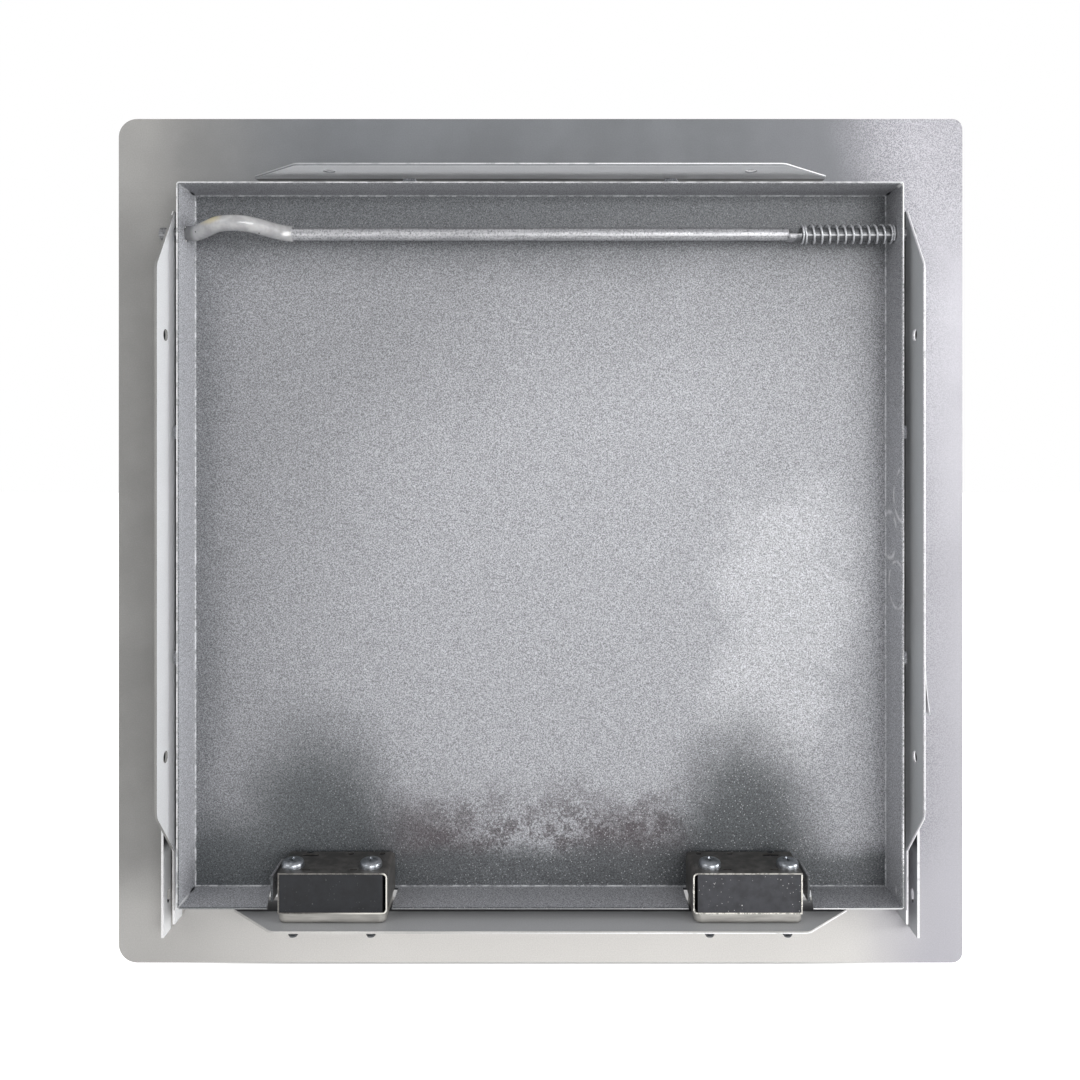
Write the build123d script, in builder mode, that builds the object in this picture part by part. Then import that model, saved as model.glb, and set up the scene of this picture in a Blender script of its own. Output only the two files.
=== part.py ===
"""Recessed steel access panel, seen and modelled as it stands in a wall.

X runs to the right as seen from behind, Z up, and the front of the panel faces +Y.
The origin is the panel's centre, on the back face of the flange, where it meets the wall.
Everything behind the flange is given as a depth, which runs towards -Y. Millimetres.
"""
from build123d import *
from math import cos, radians, sin
import os

os.makedirs("parts", exist_ok=True)

# Sheet metal
sheet = 1.0
bend_outside = 0.9
bend_inside = 0.5

# Door pan
door_size = 305.0
door_depth = 20.0
door_gap = 3.75
pan_corner = 1.2
bump_length = 7.0
bump_width = 4.0
bump_height = 1.8
bump_top_reach = 55.0
bump_side_reach = 47.5
bump_inset = 2.4
bump_taper = 30.0

# Frame: each wall stops short of the corners, by a margin, and slopes up to its flap
flange_rim = 28.75
flange_left_corner = 8.0
flange_right_corner = 4.5
low_wall = 11.5
flap_depth = 31.5
flap_corner = 5.0
top_flap_margin = 34.25
top_flap_slope = 22.0
bottom_flap_margin = 25.25
bottom_flap_slope = 21.0
side_flap_top_margin = 14.25
side_flap_top_slope = 26.0
side_flap_bottom_margin = 24.75
side_flap_bottom_slope = 21.5

# Screw holes that fix the frame in the wall
wall_hole = 5.0
wall_hole_margin = 12.0
wall_hole_depth = 22.0

# Side channels of the frame
channel_gap = 3.85
channel_top_margin = 38.25
channel_tail = 6.6
channel_slot_length = 6.0
channel_slot_width = 3.0
channel_slot_margin = 3.25

# Hinge rod, its grip and its return spring
rod = 5.5
rod_drop = 20.0
rod_depth = 10.0
rod_left_proud = 6.65
rod_right_proud = 4.35
rod_chamfer = 0.5
rod_running = 0.3
rod_loose = 0.75
bow_inset = 24.0
bow_half = 19.4
bow_height = 16.85
bow_radius = 14.0
bow_tilt = 11.0
sleeve_wall = 0.6
sleeve_stop_gap = 0.3
sleeve_tail = 3.1
crimp_length = 5.2
crimp_thickness = 2.6
coil_length = 40.1
coil_inside_gap = 0.65
coil_wire = 0.9
coil_turns = 12
coil_seat_gap = 0.1

# Touch latch: case, base and moulded core
latch_margin = 1.2
latch_width = 45.4
latch_front = 2.7
latch_rear = 25.0
latch_height = 21.0
case_sheet = 0.6
case_corner = 2.0
base_height = 4.0
base_sheet = 0.8
base_inset = 0.6
base_corner = 3.0
base_foot_radius = 1.2
core_side_gap = 1.4
core_recess = 0.3

# Openings in the top of the latch case, inset from its closed end or its outer end
round_width = 2.6
round_insets = (5.2, 18.8)
round_depth = 4.9
slit_length = 3.6
slit_width = 1.2
slit_insets = (14.8, 34.4)
slit_depth = 21.4
edge_notch = 3.2
edge_notch_inset = 8.6

# Notches in the door for the latches
notch_inner_gap = 1.2
notch_mouth_gap = 5.7
notch_root_gap = 9.2
notch_floor = 1.4

# Latch screws
latch_screw = 4.0
latch_screw_length = 30.0
latch_screw_start = 8.0
latch_screw_end = 4.6
latch_screw_depth = 17.5
screw_head = 9.4
screw_head_height = 2.9
screw_head_round = 1.6
screw_slot_length = 4.6
screw_slot_width = 0.9
screw_slot_depth = 1.4
screw_clearance = 0.2
thread_clearance = 0.05

# Latch mechanism
throat_inset = 23.6
mouth_gap = 1.2
lug_length = 10.0
lug_height = 7.6
lug_sheet = 1.2
hook_reach = 2.2
hook_thickness = 2.0
latch_play = 0.3
jaw_height = 12.2
jaw_arm = 2.4
jaw_arm_gap = 1.8
jaw_claw = 2.3
jaw_claw_gap = 0.5
jaw_pivot_depth = 13.6
jaw_boss = 4.6
jaw_pin = 2.0
jaw_pin_running = 0.05
jaw_swing_room = 4.0
jaw_coil = 3.4
jaw_coil_wire = 0.5
jaw_coil_turns = 7
jaw_coil_depth = 6.4
jaw_coil_cover = 1.6
jaw_coil_inset = 5.8
jaw_coil_window = 2.4
plunger_width = 5.2
plunger_length = 5.9
plunger_travel = 3.0
plunger_coil = 4.0
plunger_coil_wire = 0.5
plunger_coil_turns = 6
plunger_coil_room = 6.6
pocket_clearance = 0.3

# Strike on the door
strike_leg_gap = 3.8
strike_leg_depth = 18.0
strike_drop = 1.4
strike_top_margin = 0.55
strike_foot_margin = 5.0

# Adhesive label on the right flap
label_length = 51.0
label_width = 9.0
label_top = 17.0
label_thickness = 0.3
label_lift = 2.0
label_stuck = 26.0
label_edge = 0.8

# Places worked out from the sizes above
half_door = door_size / 2
half_opening = half_door + door_gap
opening = 2 * half_opening
flange_size = opening + 2 * flange_rim
top_flap_low = half_opening - top_flap_margin
top_flap_high = top_flap_low - top_flap_slope
bottom_flap_low = half_opening - bottom_flap_margin
bottom_flap_high = bottom_flap_low - bottom_flap_slope
side_flap_top_low = half_opening - side_flap_top_margin
side_flap_top_high = side_flap_top_low - side_flap_top_slope
side_flap_bottom_low = half_opening - side_flap_bottom_margin
side_flap_bottom_high = side_flap_bottom_low - side_flap_bottom_slope
wall_hole_reach = top_flap_high - wall_hole_margin
channel_outer = half_opening + sheet + channel_gap
channel_top = half_opening - channel_top_margin
rod_height = half_door - rod_drop
coil = rod + 2 * coil_inside_gap + 2 * coil_wire
latch_end = bottom_flap_high - latch_margin
latch_start = latch_end - latch_width
latch_top = -half_opening + latch_height
case_bottom = -half_opening + base_height
core_top = latch_top - case_sheet
core_bottom = case_bottom + case_sheet
core_middle = (core_top + core_bottom) / 2
neck_outer = latch_end - throat_inset
neck_inner = neck_outer - lug_sheet
hook_outer = neck_outer + hook_reach
arm_inner = hook_outer + jaw_arm_gap
arm_outer = arm_inner + jaw_arm
jaw_pivot = arm_inner + jaw_arm / 2
claw_rear = lug_length - hook_thickness - latch_play
pocket_inner = neck_inner - mouth_gap
pocket_outer = arm_outer + jaw_swing_room
jaw_coil_height = core_top - jaw_coil_cover - jaw_coil / 2
jaw_coil_end = latch_end - jaw_coil_inset
plunger_front = lug_length + latch_play
plunger_rear = plunger_front + plunger_length
plunger_middle = neck_outer - lug_sheet / 2
plunger_coil_end = plunger_rear + plunger_coil_room
screw_places = (
    (latch_start + latch_screw_start, -latch_screw_depth),
    (latch_end - latch_screw_end, -latch_screw_depth),
)


def keep(piece, node):
    """Name a finished piece and write it."""
    piece.part.label = node
    export_step(piece.part, f"parts/{node}.step")


def keep_pair(piece, node):
    """Write a piece of the right side, and its mirror image for the left side."""
    with BuildPart() as other_hand:
        mirror(piece.part, about=Plane.YZ)
    keep(piece, f"right_{node}")
    keep(other_hand, f"left_{node}")


def flap_profile(lows, highs):
    """Outline of a frame wall: a flap that slopes down to a low end at each side.

    Each argument is a pair of places along the wall. Depths run to negative y.
    """
    Polyline(
        (lows[0], 0),
        (lows[1], 0),
        (lows[1], -low_wall),
        (highs[1], -flap_depth),
        (highs[0], -flap_depth),
        (lows[0], -low_wall),
        close=True,
    )


def across(offset):
    """Plane that faces +X at this distance, with local x running down and local y to the front."""
    return Plane(origin=(offset, 0, 0), x_dir=(0, 0, -1), z_dir=(1, 0, 0))


# Frame plate: the flange ring with its top and bottom walls folded back
with BuildPart() as frame_plate:
    with BuildSketch(Plane.XZ) as flange:
        Rectangle(flange_size, flange_size)
        fillet(flange.vertices().group_by(Axis.X)[0], radius=flange_left_corner)
        fillet(flange.vertices().group_by(Axis.X)[-1], radius=flange_right_corner)
        Rectangle(opening, opening, mode=Mode.SUBTRACT)
    extrude(amount=-sheet)
    folds = (
        (half_opening, top_flap_low, top_flap_high),
        (-half_opening - sheet, bottom_flap_low, bottom_flap_high),
    )
    for level, low, high in folds:
        with BuildSketch(Plane.XY.offset(level)):
            with BuildLine():
                flap_profile((-low, low), (-high, high))
            make_face()
        extrude(amount=sheet)
    free_corners = frame_plate.edges().filter_by(Axis.Z).group_by(Axis.Y)[0]
    fillet(free_corners, radius=flap_corner)
    front_edges = frame_plate.edges().filter_by(Axis.X).group_by(Axis.Y)[-1]
    fillet(front_edges.filter_by(lambda edge: abs(edge.center().Z) < half_opening + sheet), radius=bend_outside)
    with Locations(Plane(origin=(0, -wall_hole_depth, half_opening + sheet))):
        with Locations((-wall_hole_reach, 0), (wall_hole_reach, 0)):
            Hole(wall_hole / 2, depth=2 * sheet)
    with Locations(Plane.XY.offset(-half_opening)):
        for side in (-1, 1):
            with Locations([(side * along, depth) for along, depth in screw_places]):
                Hole(latch_screw / 2 + thread_clearance, depth=2 * sheet)
keep(frame_plate, "frame_plate")

# Side channel: inner leg with the flap, web on the back of the flange, low outer leg
inner_tail = half_opening + channel_tail
outer_tail = inner_tail + channel_outer + sheet - half_opening
with BuildPart() as side_channel:
    with BuildSketch(across(half_opening)):
        with BuildLine():
            flap_profile(
                (-side_flap_top_low, side_flap_bottom_low),
                (-side_flap_top_high, side_flap_bottom_high),
            )
        make_face()
        with Locations((side_flap_bottom_low, -low_wall)):
            Rectangle(inner_tail - side_flap_bottom_low, low_wall, align=Align.MIN)
    extrude(amount=sheet)
    flap_corners = side_channel.edges().filter_by(Axis.X).group_by(Axis.Y)[0]
    fillet(flap_corners, radius=flap_corner)
    with BuildSketch(Plane.XZ):
        with BuildLine():
            Polyline(
                (half_opening, channel_top),
                (channel_outer + sheet, channel_top),
                (channel_outer + sheet, -outer_tail),
                (half_opening, -inner_tail),
                close=True,
            )
        make_face()
    extrude(amount=sheet)
    with BuildSketch(across(channel_outer)):
        with BuildLine():
            Polyline(
                (-channel_top, 0),
                (outer_tail, 0),
                (outer_tail, -low_wall),
                (-channel_top, -low_wall),
                close=True,
            )
        make_face()
    extrude(amount=sheet)
    outer_bend = side_channel.edges().filter_by(Axis.Z).group_by(Axis.Y)[-1].sort_by(Axis.X)[-1]
    fillet(outer_bend, radius=bend_outside)
    with BuildSketch(across(half_opening)):
        with Locations((-wall_hole_reach, -wall_hole_depth), (wall_hole_reach, -wall_hole_depth)):
            Circle(wall_hole / 2)
        with Locations((-rod_height, -rod_depth)):
            Circle(rod / 2 + rod_running)
    extrude(amount=sheet, mode=Mode.SUBTRACT)
    with BuildSketch(across(channel_outer)):
        with Locations((half_opening - channel_slot_margin, -low_wall / 2)):
            SlotOverall(channel_slot_length, channel_slot_width)
    extrude(amount=sheet, mode=Mode.SUBTRACT)
keep_pair(side_channel, "side_channel")

# Door pan: one sheet with its four walls folded back and welded at the corners
with BuildPart() as door_pan:
    with BuildSketch(Plane.XZ.offset(-sheet)):
        Rectangle(door_size, door_size)
    extrude(amount=sheet + door_depth)
    pan_corners = door_pan.edges().filter_by(Axis.Y)
    fillet(pan_corners, radius=pan_corner)
    fillet(door_pan.edges().group_by(Axis.Y)[-1], radius=bend_outside)
    with BuildSketch(Plane.XZ):
        Rectangle(door_size - 2 * sheet, door_size - 2 * sheet)
    extrude(amount=door_depth, mode=Mode.SUBTRACT)
    fold_lines = door_pan.faces().filter_by(Axis.Y).sort_by(Axis.Y)[-2].edges()
    fillet(fold_lines, radius=bend_inside)
    for side in (-1, 1):
        with BuildSketch(Plane.XY.offset(-half_door)):
            with BuildLine():
                Polyline(
                    (side * (latch_start - notch_inner_gap), -door_depth),
                    (side * (latch_end + notch_mouth_gap), -door_depth),
                    (side * (latch_end + notch_root_gap), -notch_floor),
                    (side * (latch_start - notch_inner_gap), -notch_floor),
                    close=True,
                )
            make_face()
        extrude(amount=sheet, mode=Mode.SUBTRACT)
    with BuildSketch(across(half_door - sheet)):
        with Locations((-rod_height, -rod_depth)):
            Circle(rod / 2 + rod_running)
    extrude(amount=sheet, mode=Mode.SUBTRACT)
    with BuildSketch(across(-half_door)):
        with Locations((-rod_height, -rod_depth)):
            Circle(rod / 2 + rod_loose)
    extrude(amount=sheet, mode=Mode.SUBTRACT)
    bump_depth = door_depth - bump_inset
    bump_places = [((side * bump_top_reach, -bump_depth, half_door), (1, 0, 0), (0, 0, 1)) for side in (-1, 1)]
    for side in (-1, 1):
        for level in (-bump_side_reach, bump_side_reach):
            bump_places.append(((side * half_door, -bump_depth, level), (0, 0, 1), (side, 0, 0)))
    for place, along, outwards in bump_places:
        with BuildSketch(Plane(origin=place, x_dir=along, z_dir=outwards)):
            SlotOverall(bump_length, bump_width)
        extrude(amount=bump_height, taper=bump_taper)
keep(door_pan, "door_pan")

# Strike: a foot welded inside the door's face, a side leg, and a hooked lug for the latch
strike_leg = latch_end + strike_leg_gap
strike_foot = neck_inner - strike_foot_margin
strike_bottom = -half_door + sheet + strike_drop
strike_height = core_middle + lug_height / 2 + strike_top_margin - strike_bottom
lug_bottom = core_middle - lug_height / 2
with BuildPart() as strike:
    with BuildSketch(Plane.XZ):
        with Locations((strike_foot, strike_bottom)):
            Rectangle(strike_leg + sheet - strike_foot, strike_height, align=Align.MIN)
    extrude(amount=sheet)
    with BuildSketch(Plane.XY.offset(strike_bottom)):
        with Locations((strike_leg, -strike_leg_depth)):
            Rectangle(sheet, strike_leg_depth, align=Align.MIN)
    extrude(amount=strike_height)
    leg_bend = strike.edges().filter_by(Axis.Z).group_by(Axis.Y)[-1].sort_by(Axis.X)[-1]
    fillet(leg_bend, radius=bend_outside)
    with BuildSketch(Plane.XY.offset(lug_bottom)):
        with BuildLine():
            Polyline(
                (neck_inner, 0),
                (neck_outer, 0),
                (neck_outer, hook_thickness - lug_length),
                (hook_outer, hook_thickness - lug_length),
                (hook_outer, -lug_length),
                (neck_inner, -lug_length),
                close=True,
            )
        make_face()
    extrude(amount=lug_height)
keep_pair(strike, "strike")

# Hinge rod: straight through both walls, with a bowed grip at the left and a crimped stop at the right
rod_left_end = half_opening + rod_left_proud
rod_right_end = half_opening + rod_right_proud
bow_centre = half_door - bow_inset
bow_up = radians(bow_tilt)
crimp_start = half_door - sheet - 2 * coil_seat_gap - coil_length - crimp_length
rod_plane = Plane(
    origin=(0, -rod_depth, rod_height),
    x_dir=(1, 0, 0),
    z_dir=(0, -sin(bow_up), -cos(bow_up)),
)


def rod_path():
    """Centre line of the rod, in its own plane, with the bow towards local y."""
    FilletPolyline(
        (-rod_left_end, 0),
        (-bow_centre - bow_half, 0),
        (-bow_centre, bow_height),
        (-bow_centre + bow_half, 0),
        (rod_right_end, 0),
        radius=bow_radius,
    )


with BuildPart() as hinge_rod:
    with BuildLine(rod_plane):
        rod_path()
    with BuildSketch(Plane(origin=(-rod_left_end, -rod_depth, rod_height), z_dir=(1, 0, 0))):
        Circle(rod / 2)
    sweep()
    rod_ends = hinge_rod.edges().filter_by(GeomType.CIRCLE).sort_by(Axis.X)
    chamfer((rod_ends[0], rod_ends[-1]), length=rod_chamfer)
    crimp_plane = Plane(origin=(crimp_start, -rod_depth, rod_height), x_dir=(0, 1, 0), z_dir=(1, 0, 0))
    with BuildSketch(crimp_plane):
        Rectangle(coil, coil)
    extrude(amount=crimp_length, mode=Mode.SUBTRACT)
    with BuildSketch(crimp_plane):
        with Locations((0, (crimp_thickness - rod) / 2)):
            SlotOverall(coil, crimp_thickness)
    extrude(amount=crimp_length)
keep(hinge_rod, "hinge_rod")

# Grip sleeve: soft tube over the bowed part of the rod
with BuildPart() as grip_sleeve:
    with BuildLine(rod_plane):
        rod_path()
    with BuildSketch(Plane(origin=(-rod_left_end, -rod_depth, rod_height), z_dir=(1, 0, 0))):
        Circle(rod / 2 + sleeve_wall)
        Circle(rod / 2, mode=Mode.SUBTRACT)
    sweep()
    split(bisect_by=Plane.YZ.offset(-half_door + sheet + sleeve_stop_gap), keep=Keep.TOP)
    split(bisect_by=Plane.YZ.offset(-bow_centre + bow_half + sleeve_tail), keep=Keep.BOTTOM)
keep(grip_sleeve, "grip_sleeve")


def coil_spring(start, direction, length, outside, wire, turns):
    """Round-wire compression spring from start, along direction, as long as stated over its ends."""
    radius = (outside - wire) / 2
    rise = length - wire
    first = Vector(start) + Vector(direction) * (wire / 2)
    with BuildPart() as spring:
        with BuildLine() as winding:
            Helix(rise / turns, rise, radius, center=first, direction=direction, lefthand=True)
        with BuildSketch(Plane(origin=winding.line @ 0, z_dir=winding.line % 0)):
            Circle(wire / 2)
        sweep(is_frenet=True)
    return spring


# Return spring: between the crimp on the rod and the door's right wall
spring_start = crimp_start + crimp_length + coil_seat_gap
return_spring = coil_spring(
    (spring_start, -rod_depth, rod_height), (1, 0, 0), coil_length, coil, coil_wire, coil_turns
)
keep(return_spring, "return_spring")

# Latch base: shallow pressed tray that stands on the frame's bottom flap
latch_middle = (latch_start + latch_end) / 2
latch_length = latch_rear - latch_front
latch_centre_depth = (latch_front + latch_rear) / 2
with BuildPart() as latch_base:
    with BuildSketch(Plane.XY.offset(-half_opening)):
        with Locations((latch_middle + base_inset / 2, -latch_centre_depth)):
            RectangleRounded(latch_width - base_inset, latch_length, base_corner)
    extrude(amount=base_height)
    fillet(latch_base.edges().group_by(Axis.Z)[0], radius=base_foot_radius)
    with BuildSketch(Plane.XY.offset(-half_opening + base_sheet)):
        with Locations((latch_middle + base_inset / 2, -latch_centre_depth)):
            RectangleRounded(
                latch_width - base_inset - 2 * base_sheet,
                latch_length - 2 * base_sheet,
                base_corner - base_sheet,
            )
    extrude(amount=base_height - base_sheet, mode=Mode.SUBTRACT)
    with Locations(Plane.XY.offset(-half_opening)):
        with Locations(screw_places):
            Hole(latch_screw / 2 + screw_clearance, depth=base_height)
keep_pair(latch_base, "latch_base")

# Latch case: plated sheet folded round the core, with round corners towards the panel's centre
with BuildPart() as latch_case:
    with BuildSketch(Plane.XZ.offset(latch_front)):
        with Locations((latch_middle, (latch_top + case_bottom) / 2)):
            Rectangle(latch_width, latch_top - case_bottom)
        with Locations((latch_middle, core_middle)):
            Rectangle(latch_width - 2 * case_sheet, core_top - core_bottom, mode=Mode.SUBTRACT)
    extrude(amount=latch_length)
    long_edges = latch_case.edges().filter_by(Axis.Y)
    fillet(long_edges.group_by(Axis.X)[0], radius=case_corner)
    closed_inside = long_edges.filter_by_position(
        Axis.X, latch_start + case_sheet / 2, latch_start + 2 * case_sheet
    )
    fillet(closed_inside, radius=case_corner - case_sheet)
    with Locations(Plane.XY.offset(latch_top)):
        with Locations(screw_places):
            Hole(latch_screw / 2 + screw_clearance, depth=latch_height)
    with BuildSketch(Plane.XY.offset(core_top)):
        with Locations(((pocket_outer + jaw_coil_end) / 2, -jaw_coil_depth)):
            SlotOverall(jaw_coil_end - pocket_outer, jaw_coil_window)
        with Locations([(latch_start + inset, -round_depth) for inset in round_insets]):
            Circle(round_width / 2)
        with Locations([(latch_start + inset, -slit_depth) for inset in slit_insets]):
            SlotOverall(slit_length, slit_width)
        with Locations((latch_end - edge_notch_inset, -latch_front)):
            Circle(edge_notch / 2)
    extrude(amount=case_sheet, mode=Mode.SUBTRACT)
keep_pair(latch_case, "latch_case")

# Latch core: moulded block inside the case, with the mouth, the bores and the spring pockets
core_front = latch_front + core_recess
core_rear = latch_rear - core_recess
core_start = latch_start + case_sheet + core_side_gap
core_end = latch_end - case_sheet
with BuildPart() as latch_core:
    with BuildSketch(Plane.XZ.offset(core_front)):
        with Locations(((core_start + core_end) / 2, core_middle)):
            Rectangle(core_end - core_start, core_top - core_bottom)
    extrude(amount=core_rear - core_front)
    with BuildSketch(Plane.XZ.offset(core_front)):
        with Locations(((pocket_inner + pocket_outer) / 2, core_middle)):
            Rectangle(pocket_outer - pocket_inner, jaw_height + 2 * pocket_clearance)
    extrude(amount=jaw_pivot_depth + jaw_boss / 2 + pocket_clearance - core_front, mode=Mode.SUBTRACT)
    with BuildSketch(Plane.XZ.offset(core_front)):
        with Locations((plunger_middle, core_middle)):
            Rectangle(plunger_width + 2 * pocket_clearance, lug_height + 2 * pocket_clearance)
    extrude(amount=plunger_rear + plunger_travel - core_front, mode=Mode.SUBTRACT)
    with BuildSketch(Plane.XZ.offset(plunger_rear)):
        with Locations((plunger_middle, core_middle)):
            Circle(plunger_coil / 2 + pocket_clearance)
    extrude(amount=plunger_coil_end - plunger_rear, mode=Mode.SUBTRACT)
    with BuildSketch(across(pocket_outer)):
        with Locations((-jaw_coil_height, -jaw_coil_depth)):
            Circle(jaw_coil / 2 + pocket_clearance)
    extrude(amount=jaw_coil_end - pocket_outer, mode=Mode.SUBTRACT)
    with BuildSketch(Plane.XY.offset(core_top)):
        with Locations(((pocket_outer + jaw_coil_end) / 2, -jaw_coil_depth)):
            SlotOverall(jaw_coil_end - pocket_outer, jaw_coil_window)
    extrude(amount=jaw_coil_height - core_top, mode=Mode.SUBTRACT)
    with Locations(Plane.XY.offset(core_top)):
        with Locations(screw_places):
            Hole(latch_screw / 2 + screw_clearance, depth=latch_height)
        with Locations((jaw_pivot, -jaw_pivot_depth)):
            Hole(jaw_pin / 2, depth=latch_height)
keep_pair(latch_core, "latch_core")

# Latch jaw: turns on its pin, and its claw holds the strike's lug from the front
jaw_bottom = core_middle - jaw_height / 2
with BuildPart() as latch_jaw:
    with BuildSketch(Plane.XY.offset(jaw_bottom)):
        with BuildLine():
            Polyline(
                (arm_outer, -jaw_pivot_depth),
                (arm_inner, -jaw_pivot_depth),
                (arm_inner, -claw_rear),
                (neck_outer + jaw_claw_gap, -claw_rear),
                (neck_outer + jaw_claw_gap, -claw_rear + jaw_claw),
                (arm_outer, -claw_rear + jaw_claw),
                close=True,
            )
        make_face()
        with Locations((jaw_pivot, -jaw_pivot_depth)):
            Circle(jaw_boss / 2)
            Circle(jaw_pin / 2 + jaw_pin_running, mode=Mode.SUBTRACT)
    extrude(amount=jaw_height)
    claw_edges = latch_jaw.edges().filter_by(Axis.Z).group_by(Axis.Y)[-1]
    fillet(claw_edges, radius=bend_inside)
keep_pair(latch_jaw, "latch_jaw")

# Jaw pin: steel pin pressed into the core, from case wall to case wall
with BuildPart() as jaw_pin_piece:
    with BuildSketch(Plane.XY.offset(core_bottom)):
        with Locations((jaw_pivot, -jaw_pivot_depth)):
            Circle(jaw_pin / 2)
    extrude(amount=core_top - core_bottom)
keep_pair(jaw_pin_piece, "jaw_pin")

# Jaw spring: lies across the latch, under the window in the case
jaw_spring = coil_spring(
    (arm_outer + coil_seat_gap, -jaw_coil_depth, jaw_coil_height),
    (1, 0, 0),
    jaw_coil_end - arm_outer - 2 * coil_seat_gap,
    jaw_coil,
    jaw_coil_wire,
    jaw_coil_turns,
)
keep_pair(jaw_spring, "jaw_spring")

# Latch plunger: nylon block that the strike's lug pushes in
with BuildPart() as latch_plunger:
    with BuildSketch(Plane.XZ.offset(plunger_front)):
        with Locations((plunger_middle, core_middle)):
            Rectangle(plunger_width, lug_height)
    extrude(amount=plunger_length)
    fillet(latch_plunger.edges().filter_by(Axis.Y), radius=bend_inside)
keep_pair(latch_plunger, "latch_plunger")

# Plunger spring: between the plunger and the back of the core
plunger_spring = coil_spring(
    (plunger_middle, -plunger_rear - coil_seat_gap, core_middle),
    (0, -1, 0),
    plunger_coil_end - plunger_rear - 2 * coil_seat_gap,
    plunger_coil,
    plunger_coil_wire,
    plunger_coil_turns,
)
keep_pair(plunger_spring, "plunger_spring")

# Latch screws: two pan-head screws down through case, core, base and flap
with BuildPart() as latch_screws:
    with BuildSketch(Plane.XY.offset(latch_top)):
        with Locations(screw_places):
            Circle(screw_head / 2)
    extrude(amount=screw_head_height)
    fillet(latch_screws.edges().group_by(Axis.Z)[-1], radius=screw_head_round)
    with BuildSketch(Plane.XY.offset(latch_top)):
        with Locations(screw_places):
            Circle(latch_screw / 2)
    extrude(amount=-latch_screw_length)
    chamfer(latch_screws.edges().group_by(Axis.Z)[0], length=rod_chamfer)
    with BuildSketch(Plane.XY.offset(latch_top + screw_head_height)):
        with Locations(screw_places):
            Rectangle(screw_slot_length, screw_slot_width)
            Rectangle(screw_slot_width, screw_slot_length)
    extrude(amount=-screw_slot_depth, mode=Mode.SUBTRACT)
keep_pair(latch_screws, "latch_screws")

# Label: thin blank strip on the outside of the right flap, its lower end come loose
label_centre = half_opening + sheet + label_thickness / 2
with BuildPart() as flap_label:
    with BuildSketch(Plane.XZ.offset(flap_depth - label_edge - label_width)):
        with BuildLine():
            stuck = Line((label_centre, -label_top), (label_centre, -label_top - label_stuck))
            TangentArc(
                stuck @ 1,
                (label_centre + label_lift, -label_top - label_length),
                tangent=stuck % 1,
            )
        trace(line_width=label_thickness)
    extrude(amount=label_width)
keep(flap_label, "flap_label")
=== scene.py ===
import math
import bpy
from mathutils import Matrix, Vector


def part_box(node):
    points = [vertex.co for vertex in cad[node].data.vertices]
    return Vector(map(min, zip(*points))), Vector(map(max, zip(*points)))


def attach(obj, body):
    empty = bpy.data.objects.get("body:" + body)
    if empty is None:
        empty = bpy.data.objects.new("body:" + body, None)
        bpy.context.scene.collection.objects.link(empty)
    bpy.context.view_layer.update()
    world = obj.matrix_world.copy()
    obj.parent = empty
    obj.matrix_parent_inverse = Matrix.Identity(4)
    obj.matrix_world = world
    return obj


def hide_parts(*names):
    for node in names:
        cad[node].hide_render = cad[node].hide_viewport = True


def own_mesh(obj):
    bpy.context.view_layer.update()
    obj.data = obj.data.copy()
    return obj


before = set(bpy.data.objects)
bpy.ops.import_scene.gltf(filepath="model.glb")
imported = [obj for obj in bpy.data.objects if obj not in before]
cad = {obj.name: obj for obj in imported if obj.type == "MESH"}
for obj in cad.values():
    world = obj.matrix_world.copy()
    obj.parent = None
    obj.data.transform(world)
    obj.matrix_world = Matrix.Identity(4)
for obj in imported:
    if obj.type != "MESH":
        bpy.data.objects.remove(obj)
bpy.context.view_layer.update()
bpy.ops.object.select_all(action="DESELECT")


# Wall frame: a flange plate with folded walls, and a folded channel welded up each side.
# Zinc-coated sheet, 1 mm, bare and satin on the flange, with a dust of primer that drifted
# over its right side. The shears left the cut edges bright, and a painted highlight adds to them.
# Painted light and shade tone the flange and the inner faces of the flaps.

def new_finish(name, roughness, metallic=0.0):
    """Material with its tree and shader, for its section to complete."""
    finish = bpy.data.materials.new(name)
    finish.use_nodes = True
    shader = finish.node_tree.nodes["Principled BSDF"]
    shader.inputs["Roughness"].default_value = roughness
    shader.inputs["Metallic"].default_value = metallic
    return finish, finish.node_tree, shader


def put(tree, socket, value):
    """Link a socket, or write a plain number or colour on it."""
    if isinstance(value, bpy.types.NodeSocket):
        tree.links.new(value, socket)
    elif isinstance(value, (tuple, list)) and len(value) == 3 and len(socket.default_value) == 4:
        socket.default_value = (*value, 1.0)
    else:
        socket.default_value = value


def place(tree, centre=(0, 0, 0), stretch=(1, 1, 1), turn=(0, 0, 0)):
    """Object coordinates, moved to a centre, turned and stretched."""
    where = tree.nodes.new("ShaderNodeTexCoord").outputs["Object"]
    mapping = tree.nodes.new("ShaderNodeMapping")
    mapping.vector_type = "TEXTURE"
    tree.links.new(where, mapping.inputs["Vector"])
    mapping.inputs["Location"].default_value = centre
    mapping.inputs["Rotation"].default_value = turn
    mapping.inputs["Scale"].default_value = stretch
    return mapping.outputs["Vector"]


def axes(tree, vector=None):
    """The three numbers of a place on the object."""
    split = tree.nodes.new("ShaderNodeSeparateXYZ")
    put(tree, split.inputs[0], vector or place(tree))
    return split.outputs


def noise(tree, scale, detail=2.0, rough=0.5, vector=None):
    """Cloudy grain, from 0 to 1, with this many grains to the metre."""
    grain = tree.nodes.new("ShaderNodeTexNoise")
    put(tree, grain.inputs["Vector"], vector or place(tree))
    grain.inputs["Scale"].default_value = scale
    grain.inputs["Detail"].default_value = detail
    grain.inputs["Roughness"].default_value = rough
    return grain.outputs["Fac"]


def cells(tree, scale, vector=None):
    """Distance to the nearest of many scattered points, in cells."""
    scatter = tree.nodes.new("ShaderNodeTexVoronoi")
    put(tree, scatter.inputs["Vector"], vector or place(tree))
    scatter.inputs["Scale"].default_value = scale
    return scatter.outputs["Distance"]


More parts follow.
